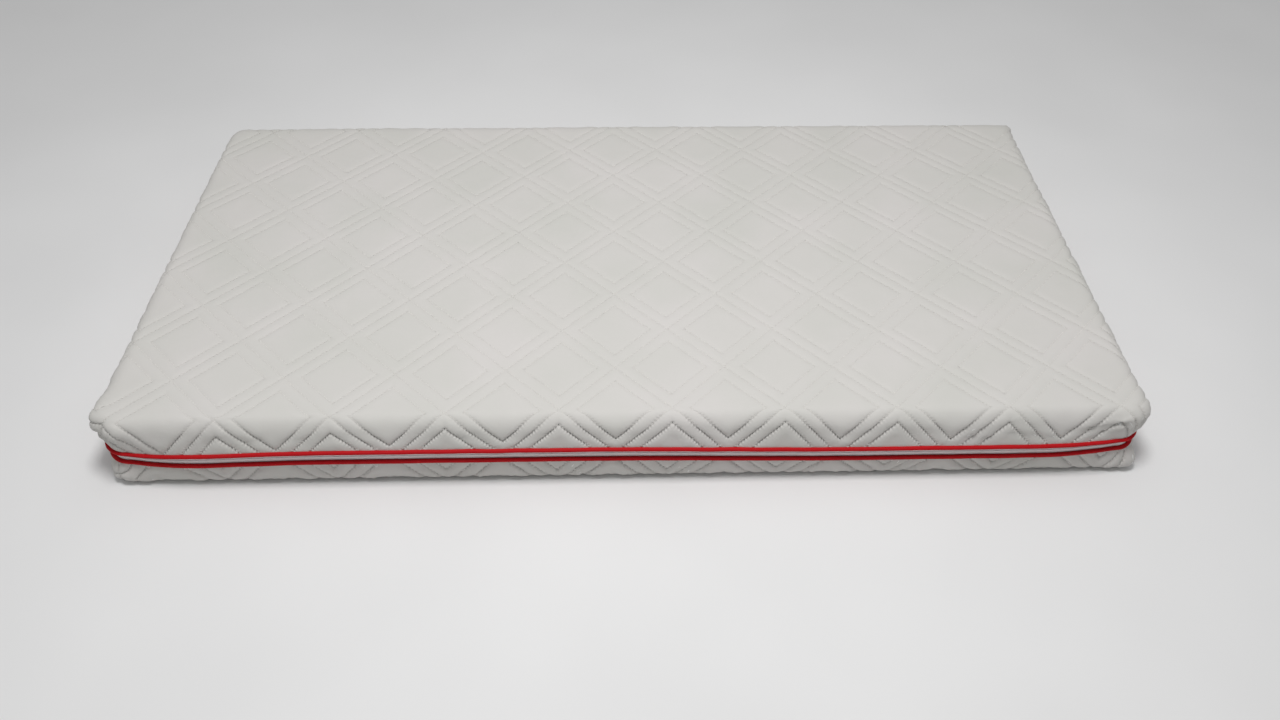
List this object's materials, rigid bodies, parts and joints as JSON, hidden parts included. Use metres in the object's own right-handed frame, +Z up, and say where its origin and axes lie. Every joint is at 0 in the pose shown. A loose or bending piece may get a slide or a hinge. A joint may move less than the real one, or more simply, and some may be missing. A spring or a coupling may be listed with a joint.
{
  "type": "pressure relief mattress",
  "caption": "Slim rectangular foam mattress in a quilted cover that unzips all round, with piping above and below the zip.",
  "frame": {"origin": "middle of the underside, on the surface that the mattress lies on", "axes": "+X along the length, +Y towards the long side that carries the zip slider, +Z up"},
  "size_m": [1.2, 0.6, 0.1],
  "materials": {
    "face_cloth": "matte",
    "wadding": "matte",
    "backing_cloth": "matte",
    "piping": "matte",
    "piping_cord": "matte",
    "zip_tape": "matte",
    "zip_coil": "satin",
    "zip_metal": "satin",
    "liner": "matte",
    "comfort_foam": "matte",
    "support_foam": "matte"
  },
  "bodies": {
    "lower_cover": {"lower_cover_face_cloth": "face_cloth", "lower_cover_wadding": "wadding", "lower_cover_backing": "backing_cloth", "lower_piping_tape": "piping", "lower_piping_cord": "piping_cord", "lower_zip_tape": "zip_tape", "lower_zip_coil": "zip_coil", "lower_top_stop": "zip_metal", "zip_retainer": "zip_metal", "zip_end_tab": "zip_tape"},
    "core": {"core_liner": "liner", "comfort_foam_layer": "comfort_foam", "support_foam_layer": "support_foam"},
    "upper_cover": {"upper_cover_face_cloth": "face_cloth", "upper_cover_wadding": "wadding", "upper_cover_backing": "backing_cloth", "upper_piping_tape": "piping", "upper_piping_cord": "piping_cord", "upper_zip_tape": "zip_tape", "upper_zip_coil": "zip_coil", "upper_top_stop": "zip_metal", "zip_insertion_pin": "zip_metal"},
    "zip_slider": {"zip_slider_body": "zip_metal", "zip_slider_bail": "zip_metal"},
    "zip_pull": {"zip_pull_tab": "zip_metal"}
  },
  "joints": [
    {"name": "core_lift", "type": "slide", "parent": "lower_cover", "child": "core", "axis": [0, 0, 1], "range_m": [0, 0.15]},
    {"name": "upper_cover_lift", "type": "slide", "parent": "core", "child": "upper_cover", "axis": [0, 0, 1], "range_m": [0, 0.15]},
    {"name": "zip_slide", "type": "slide", "parent": "lower_cover", "child": "zip_slider", "axis": [-1, 0, 0], "range_m": [0, 1]},
    {"name": "zip_pull_swing", "type": "hinge", "parent": "zip_slider", "child": "zip_pull", "pos_m": [0.48, 0.29775, 0.045], "axis": [0, 0, -1], "range_deg": [0, 175]}
  ]
}
